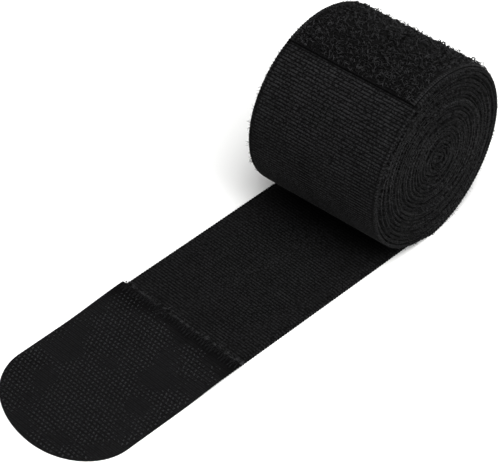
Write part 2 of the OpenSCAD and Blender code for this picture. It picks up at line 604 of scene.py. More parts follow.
@dataclass(frozen=True)
class Weave:
    """Relief of a ribbed cloth: round ribs, a groove beside the edge and a beaded selvedge.

    The ribs sway along the cloth by the wobble, as a share of their pitch. The beads
    lie between the low and the high share of the rib's depth. The swell thickens the
    cloth away from its edges.
    """

    pitch: float
    thickness: float
    rib_depth: float = 0.24
    rib_fill: float = 0.98
    edge_round: float = 0.45
    groove_at: float = 1.15
    groove_depth: float = 0.16
    groove_w: float = 0.2
    bead_run: float = 0.3
    bead_low: float = 0.25
    bead_high: float = 0.6
    wobble: float = 0.1
    wobble_wave: Wave = Wave(1.0, 3, (0.6, 1.1, 1.9))
    wobble_scale: Range = (0.5, 0.07)
    scallop: float = 0.16
    scallop_run: float = 0.8
    lip: float = 0.0
    lip_gap: float = 0.1
    least_half: float = 0.04
    swell: float = 0.0
    swell_ramp: Range = (0.5, 2.8)
    swell_fade: float = 60.0

    def rib(self, phase: Array) -> Array:
        """Gives how far below its top a rib lies: 1 less the height of a half circle per pitch."""
        part = 2 * (phase - np.floor(phase)) - 1
        return 1 - np.sqrt(np.maximum(1 - (part * self.rib_fill) ** 2, 0))

    def columns(self, low: float, high: float, insets: tuple[float, ...], spacing: float) -> Array:
        """Gives the places across the cloth: close together at the edges, then evenly spaced."""
        near = np.array(insets)
        inner = np.linspace(low + near[-1], high - near[-1],
                            max(int((high - low - 2 * near[-1]) / spacing), 1) + 1)[1:-1]
        return np.concatenate([low + near, inner, high - near[::-1]])

    def strip(self, name: str, line: Line, low: Array, high: Array, columns: Array, cloth: Cloth,
              thin: Array | float = 0.0, floor: float | None = None, shade: Array | None = None) -> Piece:
        """Makes a closed strip of ribbed cloth along a line.

        The face lies half the thickness from the line, less the rib's drop, less the
        groove's bell curve, less the rounding of the edge; the edge itself steps in
        and out with each rib. Between the two faces it sinks in by the lip, so that
        a double cloth shows both its layers. Away from the edge it swells, and isn't
        pressed thin or ribbed, so that no light comes through between two turns.

        Args:
            name: the piece's name.
            line: the centre line.
            low: place of the lower edge at each station.
            high: place of the upper edge at each station.
            columns: places across a cloth whose edges are at 0 and 1.
            cloth: the finish.
            thin: how much thinner than its nominal thickness the cloth is.
            floor: height that no point lies below.
            shade: how far the cloth is darkened, by station and column, or by station.

        Returns:
            The new piece.
        """
        along = line.along[:, None]
        width = (high - low)[:, None]
        y = low[:, None] + columns[None, :] * width
        inset = np.minimum(columns, 1 - columns)[None, :] * width
        phase = along / self.pitch + 0.5
        sway = self.wobble_wave.at(y * self.wobble_scale[0] + along * self.wobble_scale[1])
        field = self.rib_depth * self.rib(phase + self.wobble * sway)
        bead = self.rib_depth * (self.bead_low + self.bead_high * self.rib(phase + 0.5))
        share = ramp(inset, self.groove_at - self.bead_run / 2, self.bead_run)
        drop = share * field + (1 - share) * bead
        drop += self.groove_depth * bell(inset, self.groove_at, self.groove_w)
        corner = np.clip(self.edge_round - inset, 0, self.edge_round)
        drop += self.edge_round - np.sqrt(self.edge_round ** 2 - corner ** 2)
        pressed = np.broadcast_to(thin, line.along.shape)[:, None] / 2
        if self.swell:
            inner = ramp(inset, *self.swell_ramp) * ramp(along, float(along[0, 0]), self.swell_fade)
            pressed = pressed * (1 - inner) - self.swell * inner
            drop = drop * (1 - inner)
        top = np.maximum(self.thickness / 2 - pressed - drop, self.least_half)
        inward = self.scallop * self.rib(phase + 0.5) * smoothstep(1 - inset / self.scallop_run)
        y = y - inward * np.sign(columns - 0.5)[None, :]
        for edge, way in ((0, 1.0), (-1, -1.0)):
            y[:, edge] += way * self.lip
            top[:, edge] = self.lip_gap / 2
        ring_y = np.concatenate([y, y[:, ::-1]], axis=1)
        ring_h = np.concatenate([top, -top[:, ::-1]], axis=1)
        points = (line.centre[:, None] + line.across[:, None] * ring_y[..., None]
                  + line.up[:, None] * ring_h[..., None])
        if floor is not None:
            points[..., 2] = np.maximum(points[..., 2], floor)
        uv = np.stack([np.broadcast_to(line.along[:, None], ring_y.shape), ring_y], axis=-1)
        if shade is not None:
            shade = np.broadcast_to(shade if shade.ndim == 2 else shade[:, None], y.shape)
            shade = np.concatenate([shade, shade[:, ::-1]], axis=1)
        return make_piece(name, points.reshape(-1, 3), ring_faces(*ring_y.shape), cloth, uv.reshape(-1, 2),
                          ring_y.shape[1], shade)


def to_groove(x: float, pitch: float) -> float:
    """Gives the groove between two ribs that lies nearest to x, where a cut doesn't show."""
    return (round(x / pitch - 0.5) + 0.5) * pitch


def ground_line(stations: Array, side: float, height: Array) -> Line:
    """Gives a line along X at the given heights, with the distance along equal to x."""
    count = len(stations)
    centre = np.stack([stations, np.full(count, side), height], axis=1)
    slope = np.gradient(height, stations)
    up = np.stack([-slope, np.zeros(count), np.ones(count)], axis=1)
    up /= np.linalg.norm(up, axis=1, keepdims=True)
    return Line(centre, up, np.tile([0.0, 1.0, 0.0], (count, 1)), stations)


@dataclass(frozen=True)
class Bend:
    """A stretch of cloth that crosses one hinge, between the middles of two stiff pieces.

    The spread is not used.
    """

    first: str
    second: str
    start: float
    end: float
    spread: float = 0.6

    def apply(self, piece: Piece) -> None:
        """Bakes the piece's place into its mesh, or lets it ride when both bodies are the same."""
        if self.first == self.second:
            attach(piece, self.first)
        else:
            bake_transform(piece)


# ---------------------------------------------------------------- the band

@dataclass
class BandRoll:
    """The woven band's wound part: one outer turn and the turns inside it.

    The insets are the columns' places in from an edge. The outer turn is shaded in
    its groove and where the loop tape's front edge keeps the light off it. The waves
    are the unevenness of winding by hand; their rates are no whole numbers, so that
    neighbouring turns differ. The lint is thicker than a real fibre, which is too
    fine to show.
    """

    sizes: WrapSizes
    edge_insets: tuple[float, ...] = (0, 0.04, 0.15, 0.4, 0.75, 1.0, 1.15, 1.35, 1.8, 2.6)
    coil_insets: tuple[float, ...] = (0, 0.04, 0.45, 3.4)
    column_gap: float = 2.3
    steps_per_rib: int = 6
    coil_steps_per_rib: int = 3
    core_drift: Range = (2.0, -0.4)
    core_clear: float = 0.35
    core_end: float = 270.0
    thumb_clear: float = 0.7
    tape_shade: float = 0.95
    tape_shade_shift: float = 0.6
    tape_shade_ramp: Range = (0.5, 0.8)
    groove_shade: float = 0.8
    groove_shade_w: float = 0.22
    coil_shade: float = 0.45
    coil_shade_wave: Wave = Wave(1.6, 25, (0.29, 0.83, 1.73, 3.1))
    loose_wave: Wave = Wave(0.1, 21, (0.37, 1.13, 2.21, 3.43))
    crinkle_wave: Wave = Wave(0.06, 24, (7.3, 11.9, 17.7))
    tight: float = 0.05
    aside_wave: Wave = Wave(0.75, 22, (0.17, 0.41, 0.93, 1.57))
    press_wave: Wave = Wave(1.0, 23, (0.23, 0.71, 1.37, 2.6))
    press_least: float = 0.12
    press_more: float = 0.5
    press_bias: float = 0.15
    slack_fade: float = 120.0
    sunk: float = 0.9
    sunk_at: float = 600.0
    sunk_reach: float = 110.0
    lint_per_end: int = 3600
    lint_seed: int = 11
    lint_root: float = 0.35
    lint_spread: float = 0.4
    lint_lean: float = 0.5
    lint_curl: float = 0.35
    lint_length: Range = (0.5, 1.25)
    lint_radius: Range = (0.045, 0.08)
    lint_taper: tuple[float, ...] = (1.0, 0.9, 0.75, 0.4)
    lint_lowest: float = 0.1

    def __post_init__(self) -> None:
        """Sets up the winding and the weave."""
        s = self.sizes
        self.winding = Winding(s.roll_r, s.pitch, s.band_t, s.roll_skew, s.roll_z)
        self.weave = Weave(s.rib_pitch, s.band_t, rib_depth=0.3, groove_depth=0.24, scallop=0.22, lip=0.3)
        self.coil_weave = replace(self.weave, swell=0.2)
        clear_r = s.thumb_r + self.core_clear
        self.core_angle = 360 * math.floor((s.roll_r - clear_r) / s.pitch)
        self.last_angle = 360 * math.floor((s.roll_r - s.core_r) / s.pitch) + self.core_end

    def lead_out_line(self, x: Array) -> Line:
        """Gives the line of the band's start under the roll.

        Its across vector turns evenly from square to the free end, at the first
        bend, to the roll's axis at x = 0, and it rises by what the roll has sunk.
        """
        s = self.sizes
        low, _ = s.box("band_lead_out")
        share = np.clip(x / float(low[0]), 0, 1)
        sunk = s.roll_z - s.roll_r + s.band_t / 2
        turn = np.radians(s.roll_skew) * (1 - share)
        centre = np.stack([x, s.tail_side * share, sunk + (s.band_t / 2 - sunk) * smoothstep(share)], axis=1)
        across = np.stack([-np.sin(turn), np.cos(turn), np.zeros_like(turn)], axis=1)
        return Line(centre, np.tile([0.0, 0.0, 1.0], (len(x), 1)), across, x)

    def outer_turn(self) -> Piece:
        """Makes the outermost turn with the lead-out that it grows from."""
        s = self.sizes
        cut = to_groove(s.middle_x("band_lead_out"), s.rib_pitch)
        step = s.rib_pitch / self.steps_per_rib
        under = self.lead_out_line(np.linspace(cut, 0, int(-cut / step) + 2))
        angle = self.winding.stations(0, 360, step)
        line = under.joined(self._flip(self.winding.line(angle)))
        lit = np.full(len(under.along) - 1, 360.0)
        past = np.concatenate([lit, np.abs(angle - s.loop_front - 90 - self.tape_shade_shift)])
        half = np.full(len(line.along), s.band_w / 2)
        columns = self.weave.columns(0, s.band_w, self.edge_insets, self.column_gap) / s.band_w
        inset = np.minimum(columns, 1 - columns) * s.band_w
        in_groove = self.groove_shade * bell(inset, self.weave.groove_at, self.groove_shade_w)
        under_tape = self.tape_shade * (1 - ramp(past, *self.tape_shade_ramp))
        piece = self.weave.strip("band_outer_turn", line, -half, half, columns, Cloth.BAND, floor=0.0,
                                 shade=np.maximum(under_tape[:, None], in_groove[None, :]))
        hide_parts("band_roll", "band_lead_out")
        s.band_w * MM
        return piece

    @staticmethod
    def _flip(line: Line) -> Line:
        """Turns the winding's up vectors to match the lead-out's, which face the axis."""
        return Line(line.centre, -line.up, line.across, line.along)

    def slack(self, angle: Array) -> tuple[Array, Array, Array]:
        """Gives the hand-wound unevenness of the inner turns at each angle.

        All three fade in from nothing, where the inner turns take over from the
        outer one. The second turn sinks in at the near end, so the outer turn stands
        proud of it.

        Args:
            angle: degrees from the bottom of the outermost turn.

        Returns:
            How far the cloth stands out, how far it is shifted along the axis, and
            how much thinner it is pressed.
        """
        turn = np.radians(angle)
        fade = ramp(angle, 360, self.slack_fade)
        out = -self.tight + self.loose_wave.at(turn) + self.crinkle_wave.at(turn)
        aside = self.aside_wave.at(turn) + self.sunk * bell(angle, self.sunk_at, self.sunk_reach)
        part = np.clip(self.press_wave.at(turn) + self.press_bias, 0, 1)
        pressed = self.press_least + self.press_more * part
        return fade * out, fade * aside, fade * pressed

    def drift(self, angle: Array) -> Array:
        """Gives how far a turn's centre lies from the roll's axis, in even steps inwards."""
        pitch = self.winding.pitch
        share = np.maximum(angle - 360, 0) / 360 * pitch / (self.winding.outer_r - pitch)
        forward, up = self.core_drift
        return self.winding.turned(share[:, None] * np.array([[forward, 0.0, up]]))

    def inner_line(self, angle: Array, out: Array, aside: Array) -> Line:
        """Gives the inner turns' line, drawn about their drifting centre."""
        line = self.winding.line(angle, out, aside)
        return Line(line.centre + self.drift(angle), line.up, line.across, line.along)

    def inner_turns(self) -> list[Piece]:
        """Makes the turns inside the outer one, and the two ends beside the thumb loop."""
        s = self.sizes
        step = s.rib_pitch / self.coil_steps_per_rib
        edge, hollow = s.band_w / 2, s.thumb_w / 2 + self.thumb_clear
        first, core, last = 360.0, float(self.core_angle), float(self.last_angle)
        stretches = [
            ("band_inner_turns", self.coil_weave, first, core, -edge, edge),
            ("band_core_turns_near", self.weave, core, last, -edge, -hollow),
            ("band_core_turns_far", self.weave, core, last, hollow, edge),
        ]
        made = []
        for name, weave, start, end, low, high in stretches:
            angle = self.winding.stations(start, end, step)
            out, aside, pressed = self.slack(angle)
            line = self.inner_line(angle, out, aside)
            columns = weave.columns(0, high - low, self.coil_insets, high - low) / (high - low)
            ones = np.ones(len(angle))
            # Darker in random stretches along the turns.
            darker_stretches = self.coil_shade * smoothstep(0.5 + self.coil_shade_wave.at(np.radians(angle)))
            piece = weave.strip(name, line, low * ones, high * ones, columns, Cloth.EDGE, thin=pressed,
                                shade=darker_stretches)
            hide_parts("band_roll")
            made.append(piece)
        return made

    def edge_lint(self) -> Piece:
        """Makes the short loose ends that stand out of the band's edges on both end faces."""
        s = self.sizes
        rng = np.random.default_rng(self.lint_seed)
        count = 2 * self.lint_per_end
        reach = self.winding.stations(0, self.last_angle, 0.5)
        angle = rng.choice(reach, count) + rng.uniform(0, 1, count)
        out, aside, _ = self.slack(angle)
        within = rng.uniform(-self.lint_spread, self.lint_spread, count) * s.band_t
        line = self.inner_line(angle, out + within, aside)
        end = np.where(np.arange(count) % 2 == 0, -1.0, 1.0)[:, None]
        root = line.centre + line.across * end * (s.band_w / 2 - self.lint_root)
        forward = np.cross(line.across, line.up)
        lean = rng.normal(0, self.lint_lean, (count, 2))
        heading = line.across * end + line.up * lean[:, :1] + forward * lean[:, 1:]
        length = rng.uniform(*self.lint_length, count)[:, None]
        curl = np.cross(heading, rng.normal(0, 1, (count, 3))) * self.lint_curl
        t = np.linspace(0, 1, len(self.lint_taper))[None, :, None]
        paths = root[:, None] + (heading * length)[:, None] * t + (curl * length)[:, None] * t ** 2
        side = np.cross(heading, rng.normal(0, 1, (count, 3)))
        radius = rng.uniform(*self.lint_radius, count)[:, None] * np.array(self.lint_taper)
        paths[..., 2] = np.maximum(paths[..., 2], self.lint_lowest)
        return tube_piece("band_edge_lint", paths, side, radius, corners=3, cloth=Cloth.LINT)

    def build(self) -> list[Piece]:
        """Makes every piece of the roll's band and lets them ride on the roll."""
        made = [self.outer_turn(), *self.inner_turns(), self.edge_lint()]
        for piece in made:
            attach(piece, "roll")
        return made


@dataclass
class FreeEnd:
    """The bare band that lies flat, as one bend per hinge.

    Its colour is darkened a little all over: painted shade on its flat face.
    """

    sizes: WrapSizes
    roll: BandRoll
    tape: "HookTape"
    pieces: int = 6
    steps_per_rib: int = 8
    painted_face_shade: float = 0.33

    def bends(self) -> list[Bend]:
        """Gives the bends from the roll to the hook tape's first piece."""
        s = self.sizes
        bodies = ["roll", *[f"tail_{k}" for k in range(1, self.pieces + 1)], "tab_1"]
        nodes = ["band_lead_out", *[f"band_tail_{k}" for k in range(1, self.pieces + 1)], "hook_tape_1"]
        middles = [s.middle_x(node) for node in nodes]
        return [Bend(*bodies[k:k + 2], *middles[k:k + 2]) for k in range(len(bodies) - 1)]

    def stretch(self, name: str, start: float, end: float) -> Piece:
        """Makes the band between two places along X.

        Args:
            name: the piece's name.
            start: x nearer the roll.
            end: x nearer the tip.

        Returns:
            The new piece.
        """
        s = self.sizes
        weave = self.roll.weave
        x = np.linspace(end, start, int((start - end) / (s.rib_pitch / self.steps_per_rib)) + 2)
        thick = self.tape.under(x)
        lead = self.roll.lead_out_line(x)
        flat = ground_line(x, s.tail_side, thick / 2)
        centre = np.where((x > -s.lead_out_len)[:, None], lead.centre, flat.centre)
        line = Line(centre, flat.up, lead.across, x)
        half = np.full(len(x), s.band_w / 2)
        columns = weave.columns(0, s.band_w, self.roll.edge_insets, self.roll.column_gap) / s.band_w
        # Painted shade: the whole flat face is darkened a little.
        piece = weave.strip(name, line, -half, half, columns, Cloth.BAND, thin=s.band_t - thick, floor=0.0,
                            shade=np.full(len(x), self.painted_face_shade))
        return piece

    def build(self) -> list[Piece]:
        """Makes the bends, and the band's end under the hook tape."""
        s = self.sizes
        cut = s.middle_x("hook_tape_1")
        end = float(s.box("band_end")[0][0])
        last = self.stretch("band_lapped_end", to_groove(cut, s.rib_pitch), end)
        Bend("tab_1", "tab_2", cut, s.middle_x("hook_tape_2")).apply(last)
        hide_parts("band_end")
        made = [last]
        for k, bend in enumerate(self.bends(), 1):
            cuts = [to_groove(v, s.rib_pitch) for v in (bend.start, bend.end)]
            piece = self.stretch(f"band_bend_{k}", *cuts)
            bend.apply(piece)
            if k <= self.pieces:
                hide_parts(f"band_tail_{k}")
            s.band_w * MM
            made.append(piece)
        return made


# ---------------------------------------------------------------- hook tape

@dataclass
class HookTape:
    """The hook tape: woven ground and rows of hooks.

    Real hooks are thinner, too fine to show, so they are drawn coarser. Worn patches
    of the tape lie lower, and the seam crushes it, which flattens the hooks; beside
    the seam the ground is darkened as painted shade.
    """

    sizes: WrapSizes
    tab_pieces: int = 5
    ground_t: float = 0.5
    edge_insets: tuple[float, ...] = (0, 0.05, 0.2, 0.5, 1.2)
    column_gap: float = 2.4
    nominal_w: float = 50.0
    outline_points: int = 200
    steps_per_row: int = 8
    seam_lap: float = 1.4
    tip_spare: float = 0.02
    edge_margin: float = 1.0
    tip_margin: float = 0.6
    seam_margin: float = 1.2
    lap_run: float = 26.0
    seam_painted_shade: float = 0.85
    crushed_start: float = 0.15
    crushed_reach: Range = (6.0, 5.0)
    crushed_wave: Wave = Wave(1.8, 33, (0.25, 0.6, 1.1))
    hook_step: float = 1.45
    hook_h: float = 0.5
    hook_r: float = 0.15
    hook_sunk: float = 0.15
    hook_least: float = 0.05
    hook_spread: Range = (0.8, 1.1)
    hook_girth: Range = (0.35, 0.75)
    hook_shift: float = 0.45
    hook_jitter: Range = (0.05, 0.08)
    hook_turn: float = 0.5
    hook_lie: tuple[float, ...] = (-0.2, -0.18, -0.06, 0.14, 0.24)
    hook_rise: tuple[float, ...] = (0.0, 0.55, 0.95, 0.95, 0.6)
    worn_waves: tuple[Wave, Wave] = (Wave(1.0, 5, (0.17, 0.37, 0.6)), Wave(1.0, 6, (0.21, 0.5)))
    worn_along: Range = (0.9, 0.35)
    worn_across: Range = (0.3, 0.8)
    worn_more: float = 1.5
    worn_jitter: float = 0.25
    worn_by_seam: float = 2.6
    worn_ramp: Range = (0.05, 1.2)
    worn_down: float = 0.95
    seed: int = 31

    def __post_init__(self) -> None:
        """Reads the tape's outline from the frame."""
        low, high = self.sizes.box("hook_tape_1")
        self.near, self.far = float(low[1]), float(high[1])
        self.tip_x = float(self.sizes.box(f"hook_tape_{self.tab_pieces}")[0][0])
        self.seam_x = float(self.sizes.box("seam_stitches")[1][0]) + self.seam_lap
        self.weave = Weave(self.sizes.hook_pitch, self.ground_t, rib_depth=0.18, edge_round=0.2,
                           groove_depth=0.0, wobble=0.05, scallop=0.05)

    def bends(self) -> list[Bend]:
        """Gives the stretches from the seam to the tip."""
        s = self.sizes
        count = self.tab_pieces
        middles = [s.middle_x(f"hook_tape_{k}") for k in range(1, count + 1)]
        crossing = [Bend(f"tab_{k}", f"tab_{k + 1}", middles[k - 1], middles[k]) for k in range(1, count)]
        first = Bend("tail_6", "tab_1", s.middle_x("band_tail_6"), middles[0])
        tip = Bend(f"tab_{count}", f"tab_{count}", middles[-1], self.tip_x + self.tip_spare)
        return [first, *crossing, tip]

    def under(self, x: Array) -> Array:
        """Gives the height of the tape's underside.

        From the top of the band, whose sewn end is pressed thin, it falls to the
        ground by a smooth step over the run that starts at the seam.
        """
        return self.sizes.band_t * (1 - ramp(self.seam_x - x, 0.0, self.lap_run))

    def edges(self, x: Array) -> tuple[Array, Array]:
        """Gives both edges in y: straight, then a quarter ellipse each to the tip."""
        s = self.sizes
        peak = s.tail_side + s.tip_peak
        far_part = np.clip((self.tip_x + s.tip_far - x) / s.tip_far, 0, 1)
        near_part = np.clip((self.tip_x + s.tip_near - x) / s.tip_near, 0, 1)
        far = peak + (self.far - peak) * np.sqrt(1 - far_part ** 2)
        near = peak - (peak - self.near) * np.sqrt(1 - near_part ** 2)
        return near, far

    def ground(self, name: str, start: float, end: float) -> Piece:
        """Makes the woven ground between two places along X, closer set towards the tip."""
        s = self.sizes
        share = np.linspace(0, 1, int((start - end) / (s.hook_pitch / self.steps_per_row)) + 2)
        rounded = end < self.tip_x + 1
        share = np.sin(share * math.pi / 2) if rounded else share
        x = (start + (end - start) * share)[::-1]
        line = ground_line(x, 0.0, self.under(x) + self.ground_t / 2)
        near, far = self.edges(x)
        columns = self.weave.columns(0, self.nominal_w, self.edge_insets, self.column_gap) / self.nominal_w
        y = near[:, None] + columns[None, :] * (far - near)[:, None]
        # Painted shade on the ground beside the seam, as far as the crush reaches.
        piece = self.weave.strip(name, line, near, far, columns, Cloth.HOOK_GROUND,
                                 shade=self.seam_painted_shade * self.crushed(x[:, None], y))
        return piece

    def declare(self, start: float, end: float) -> None:
        """Works out the edges of a stretch of the ground, and does nothing with them."""
        x = np.linspace(end, start, self.outline_points)
        near, far = self.edges(x)

    def crushed(self, x: Array, y: Array) -> Array:
        """Gives how far the seam has crushed the tape, from 1 at the seam to 0.

        The reach grows towards both edges and sways along the seam. The same share
        flattens the hooks and sets the ground's painted shade.
        """
        middle, half = (self.near + self.far) / 2, (self.far - self.near) / 2
        least, more = self.crushed_reach
        reach = least + more * np.abs((y - middle) / half) ** 2 + self.crushed_wave.at(y)
        return 1 - smoothstep((self.seam_x - x) / reach - self.crushed_start)

    def hook_roots(self) -> tuple[Array, Array]:
        """Gives the hooks' places in rows a pitch apart, each row set off by almost half a step."""
        rng = np.random.default_rng(self.seed)
        pitch = self.sizes.hook_pitch
        rows = np.arange(math.ceil((self.tip_x + self.tip_margin) / pitch),
                         math.floor((self.seam_x - self.seam_margin) / pitch) + 1)
        places = np.arange(-1, int((self.far - self.near) / self.hook_step) + 1)
        r, p = np.meshgrid(rows, places, indexing="ij")
        jitter_x, jitter_y = self.hook_jitter
        shift = (rows * self.hook_shift + rng.normal(0, jitter_x, len(rows)))[:, None] % 1
        x = r * pitch + rng.normal(0, jitter_x, r.shape)
        y = self.near + (p + shift) * self.hook_step + rng.normal(0, jitter_y, r.shape)
        near, far = self.edges(x)
        inside = (y > near + self.edge_margin) & (y < far - self.edge_margin)
        return x[inside], y[inside]

    def hooks(self, name: str, start: float, end: float) -> Piece:
        """Makes the hooks that stand between two places along X.

        A hook rises, turns over in a quarter of a circle and points down again, in a
        random direction near the tape's length. Worn patches lie lower, and under
        the seam the hooks are crushed flat.
        """
        x, y = self.hook_roots()
        keep = (x <= start) & (x > end)
        x, y = x[keep], y[keep]
        rng = np.random.default_rng(self.seed + int(-start))
        long_wave, cross_wave = self.worn_waves
        worn = (long_wave.at(x * self.worn_along[0] + y * self.worn_along[1])
                + cross_wave.at(y * self.worn_across[1] - x * self.worn_across[0]))
        worn = self.worn_more * worn + rng.normal(0, self.worn_jitter, len(x))
        worn = worn + self.worn_by_seam * self.crushed(x, y)
        stands = 1 - self.worn_down * ramp(worn, *self.worn_ramp)
        tall = np.minimum(self.hook_h * stands * rng.uniform(*self.hook_spread, len(x)), self.hook_h)
        turn = rng.normal(0, self.hook_turn, len(x)) + math.pi * rng.integers(0, 2, len(x))
        z = self.under(x) + self.ground_t - self.hook_sunk
        paths = np.stack([
            x[:, None] + np.cos(turn)[:, None] * np.array(self.hook_lie),
            y[:, None] + np.sin(turn)[:, None] * np.array(self.hook_lie),
            z[:, None] + (tall[:, None] + self.hook_least) * np.array(self.hook_rise),
        ], axis=-1)
        side = np.stack([-np.sin(turn), np.cos(turn), np.zeros_like(turn)], axis=1)
        least, more = self.hook_girth
        radius = self.hook_r * (least + more * stands)[:, None] * np.ones(paths.shape[1])
        piece = tube_piece(name, paths, side, radius, corners=4, cloth=Cloth.HOOK)
        return piece

    def build(self) -> list[Piece]:
        """Makes the ground and the hooks stretch by stretch."""
        grounds, rows = [], []
        bends = self.bends()
        for k, bend in enumerate(bends, 1):
            start = self.seam_x if k == 1 else to_groove(bend.start, self.sizes.hook_pitch)
            end = bend.end if k == len(bends) else to_groove(bend.end, self.sizes.hook_pitch)
            grounds.append(self.ground(f"hook_tape_ground_{k}", start, end))
            rows.append(self.hooks(f"hook_rows_{k}", start, end))
            for piece in (grounds[-1], rows[-1]):
                bend.apply(piece)
            if k <= self.tab_pieces:
                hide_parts(f"hook_tape_{k}")
        for k in range(1, len(bends) - 1):
            self.declare(bends[k].start, bends[k].end)
        return [*grounds, *rows]


@dataclass
class Seam:
    """What sews the hook tape to the band: overlock thread, a lockstitch row and frayed ends.

    The thread and the frayed ends are thicker and fewer than real ones, which are too
    fine to show.
    """

    tape: HookTape
    edge_run: float = 0.5
    overlock_step: float = 1.25
    overlock_points: int = 9
    overlock_slant: Range = (0.55, 0.5)
    overlock_in: float = 2.0
    overlock_out: float = 0.8
    overlock_lift: Range = (0.1, 0.22)
    overlock_jitter: Range = (0.25, 1.0)
    thread_r: float = 0.14
    lock_step: float = 3.2
    lock_len: float = 2.6
    lock_points: int = 7
    lock_margin: float = 1.5
    lock_in: float = 1.6
    lock_lift: Range = (-0.12, 0.26)
    lock_round: float = 0.6
    fray_count: int = 800
    fray_place: Range = (0.7, 0.22)
    fray_margin: float = 0.6
    fray_over: float = 0.4
    fray_bunch: float = 1.4
    fray_curl: float = 0.9
    fray_length: Range = (0.3, 1.6)
    fray_least: float = 0.65
    fray_lift: float = 0.08
    fray_rise: Range = (0.15, 0.6)
    fray_near_end: Range = (1.2, 2.0)
    fray_radius: Range = (0.05, 0.1)
    fray_taper: tuple[float, ...] = (1.0, 1.0, 1.0, 0.9, 0.6)
    fray_sway: Wave = Wave(0.5, 43, (0.3, 0.8, 1.7))
    fray_tufts: Wave = Wave(0.5, 44, (0.9, 2.3, 4.1))
    seed: int = 41

    def surface(self, x: Array) -> Array:
        """Gives the height of the cloth's face: the band, then up the tape's edge onto the tape."""
        band_t = self.tape.sizes.band_t
        edge = smoothstep((self.tape.seam_x + self.edge_run / 2 - x) / self.edge_run)
        on_tape = self.tape.under(x) + self.tape.ground_t
        return band_t + (on_tape - band_t) * edge

    def overlock(self) -> Piece:
        """Makes the overlock thread, a slanted stitch there and one back at each step."""
        t = self.tape
        rng = np.random.default_rng(self.seed)
        count = int((t.far - t.near - 1.0) / self.overlock_step)
        base = t.near + 0.5 + np.arange(count) * self.overlock_step
        u = np.linspace(0, 1, self.overlock_points)
        x = t.seam_x - self.overlock_in + (self.overlock_in + self.overlock_out) * u
        shift, more = self.overlock_jitter
        out = x[None, :] + rng.normal(0, shift, (count, 1))
        out = out - np.abs(rng.normal(0, more, (count, 1))) * (1 - u)[None, :]
        slant_there, slant_back = self.overlock_slant
        there = base[:, None] + self.overlock_step * slant_there * u[None, :]
        back = base[:, None] + self.overlock_step * (1.0 - slant_back * u[None, :])
        foot, rise = self.overlock_lift
        arch = foot + rise * np.sin(math.pi * u)[None, :]
        z = self.surface(out) + arch
        paths = np.concatenate([np.stack([out, y, z], axis=-1) for y in (there, back)])
        side = np.tile([0.0, 1.0, 0.0], (len(paths), 1))
        radius = np.full(paths.shape[:2], self.thread_r)
        piece = tube_piece("seam_overlock_thread", paths, side, radius, corners=5, cloth=Cloth.THREAD)
        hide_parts("seam_stitches")
        t.bends()[0].apply(piece)
        return piece

    def lockstitch(self) -> Piece:
        """Makes the row of lockstitches over the band's lapped end, each a low arch."""
        t = self.tape
        count = int((t.far - t.near - 2 * self.lock_margin) / self.lock_step)
        y0 = t.near + self.lock_margin + np.arange(count) * self.lock_step
        u = np.linspace(0, 1, self.lock_points)
        x = float(t.sizes.box("band_end")[0][0]) + self.lock_in
        y = y0[:, None] + self.lock_len * u[None, :]
        foot, rise = self.lock_lift
        z = self.surface(np.full_like(y, x)) + foot + rise * np.sin(math.pi * u)[None, :] ** self.lock_round
        paths = np.stack([np.full_like(y, x), y, z], axis=-1)
        side = np.tile([1.0, 0.0, 0.0], (count, 1))
        radius = np.full(paths.shape[:2], self.thread_r)
        piece = tube_piece("lap_lockstitches", paths, side, radius, corners=6, cloth=Cloth.THREAD)
        t.bends()[1].apply(piece)
        return piece

    def frayed_ends(self) -> Piece:
        """Makes the frayed cotton along the seam, thicker at its near end."""
        t = self.tape
        rng = np.random.default_rng(self.seed + 1)
        count, margin = self.fray_count, self.fray_margin
        extra = count // 4
        y = np.concatenate([rng.uniform(t.near + margin, t.far - margin, count - extra),
                            t.near + rng.exponential(self.fray_bunch, extra) + margin / 2])
        x = t.seam_x + rng.normal(*self.fray_place, count) + self.fray_sway.at(y)
        turn = rng.uniform(0, 2 * math.pi, count)
        length = rng.uniform(*self.fray_length, count) * (self.fray_least + self.fray_tufts.at(y))
        u = np.linspace(0, 1, len(self.fray_taper))[None, :]
        curl = rng.normal(0, self.fray_curl, count)[:, None]
        heading = turn[:, None] + curl * u
        px = x[:, None] + length[:, None] * u * np.cos(heading)
        py = y[:, None] + length[:, None] * u * np.sin(heading)
        py = np.clip(py, t.near - self.fray_over, t.far + self.fray_over)
        more, reach = self.fray_near_end
        rise = (rng.uniform(*self.fray_rise, count) * (1 + more * np.exp((t.near - y) / reach)))[:, None]
        pz = self.surface(px) + self.fray_lift + rise * np.sin(math.pi * u)
        paths = np.stack([px, py, pz], axis=-1)
        side = np.tile([0.0, 0.0, 1.0], (count, 1))
        radius = rng.uniform(*self.fray_radius, count)[:, None] * np.array(self.fray_taper)
        piece = tube_piece("seam_frayed_ends", paths, side, radius, corners=3, cloth=Cloth.FRAY)
        t.bends()[0].apply(piece)
        return piece

    def build(self) -> list[Piece]:
        """Makes the seam's three pieces."""
        return [self.overlock(), self.lockstitch(), self.frayed_ends()]


# ---------------------------------------------------------------- loop tape

